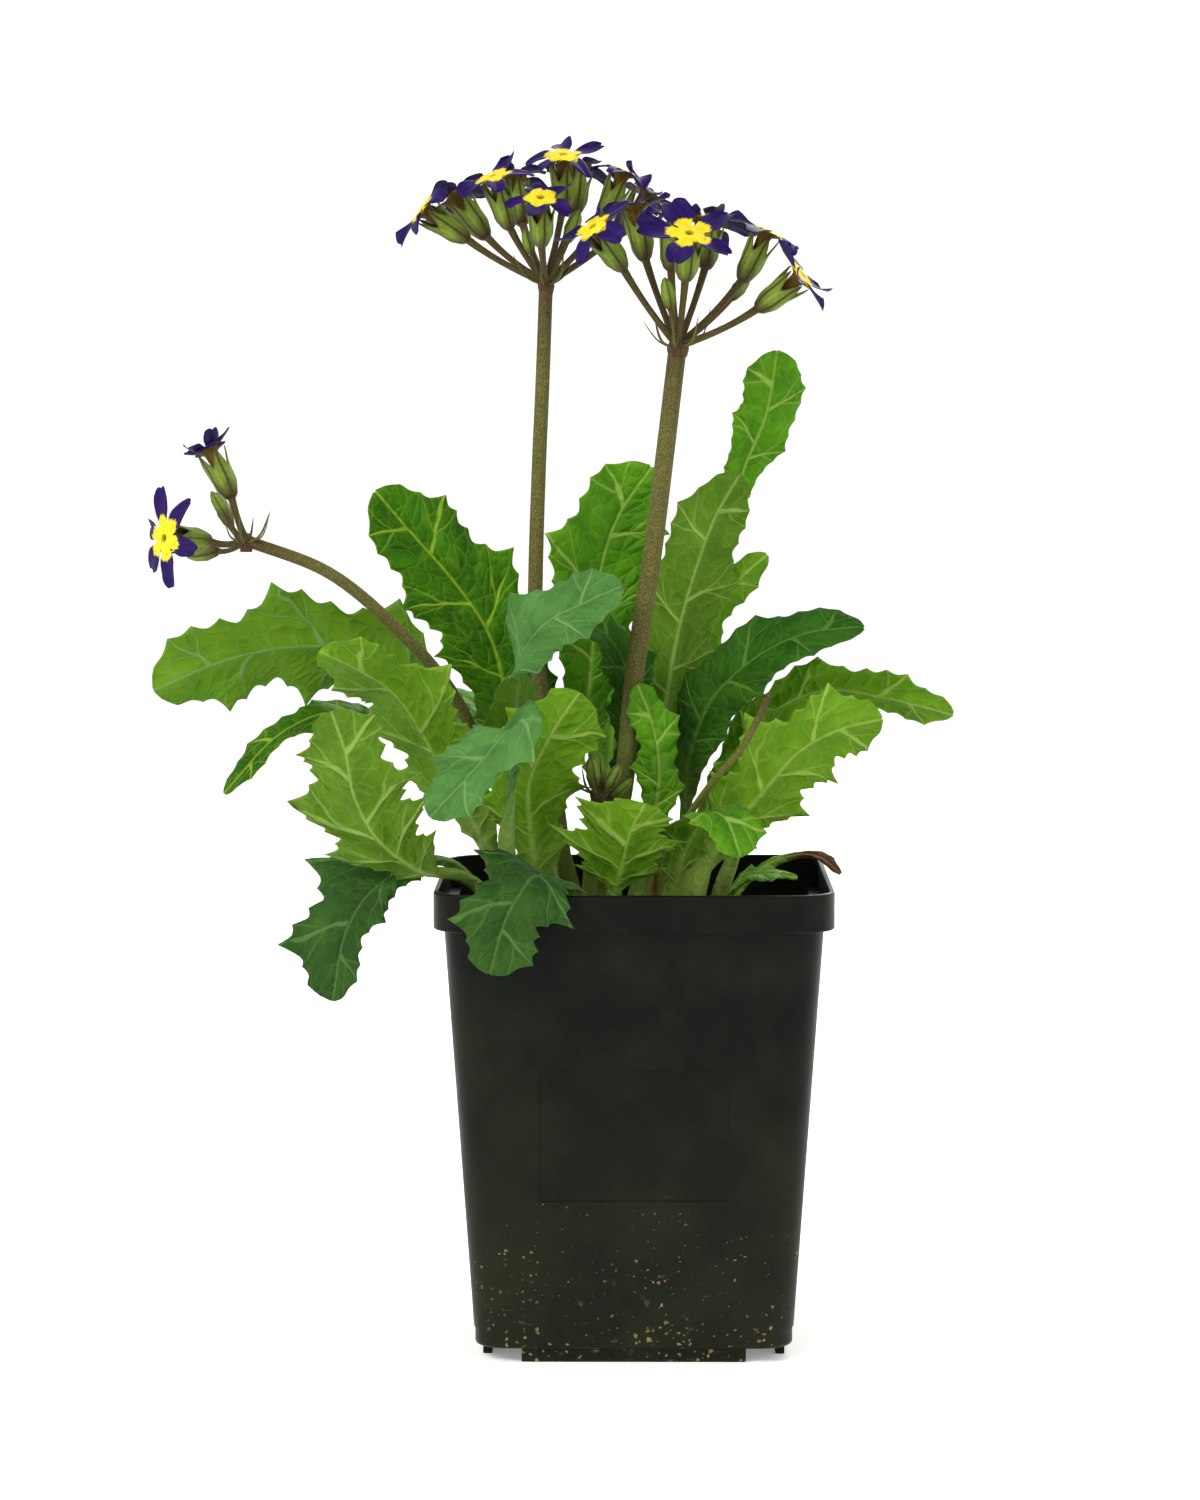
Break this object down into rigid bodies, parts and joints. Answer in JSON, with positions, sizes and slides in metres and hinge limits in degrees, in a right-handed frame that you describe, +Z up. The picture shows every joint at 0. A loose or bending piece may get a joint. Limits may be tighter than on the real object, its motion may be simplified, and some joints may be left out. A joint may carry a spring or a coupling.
{
  "type": "potted oakleaf blue primrose",
  "caption": "Flowering primrose with oak-lobed leaves and umbels of violet-blue, yellow-eyed flowers, growing in compost in a square plastic nursery pot.",
  "frame": {"origin": "centre of the pot's underside, on the surface that the pot stands on", "axes": "+Z up along the pot's axis, -Y towards the front of the pot, +X to the right"},
  "size_m": [0.2263, 0.173, 0.3382],
  "materials": {
    "pot_plastic": "satin black moulded polypropylene, dusty",
    "compost": "loose dark peat compost",
    "leaf": "soft matt living leaf with a raised net of veins",
    "stem": "olive to reddish stem with fine short hairs",
    "petal": "velvety violet-blue petal round a yellow eye"
  },
  "bodies": {
    "root": {"pot": "pot_plastic", "soil": "compost", "leaf_left_arch": "leaf", "leaf_left_droop": "leaf", "leaf_left_front": "leaf", "leaf_low_left": "leaf", "leaf_hanging_left": "leaf", "leaf_over_rim": "leaf", "leaf_front_fold": "leaf", "leaf_front_centre": "leaf", "leaf_left_centre": "leaf", "leaf_back_left": "leaf", "leaf_small_inner": "leaf", "leaf_back_centre": "leaf", "leaf_inner_arch": "leaf", "leaf_front_low": "leaf", "leaf_inner_right": "leaf", "leaf_upper_right": "leaf", "leaf_tallest": "leaf", "leaf_small_right": "leaf", "leaf_right_dark": "leaf", "leaf_far_right": "leaf", "leaf_behind_stem": "leaf", "leaf_low_right": "leaf", "leaf_front_right": "leaf", "leaf_in_rim": "leaf", "leaf_thin_right": "leaf", "leaf_rear_left": "leaf", "leaf_rear": "leaf", "leaf_rear_right": "leaf", "scape_middle": "stem", "corolla_middle_1": "petal", "corolla_middle_2": "petal", "corolla_middle_3": "petal", "corolla_middle_4": "petal", "corolla_middle_5": "petal", "corolla_middle_6": "petal", "corolla_middle_7": "petal", "corolla_middle_8": "petal", "corolla_middle_9": "petal", "scape_right": "stem", "corolla_right_1": "petal", "corolla_right_2": "petal", "corolla_right_3": "petal", "corolla_right_4": "petal", "corolla_right_5": "petal", "corolla_right_6": "petal", "corolla_right_7": "petal", "scape_left": "stem", "corolla_left_1": "petal", "corolla_left_2": "petal", "scape_old": "stem", "scape_young": "stem"}
  },
  "joints": []
}
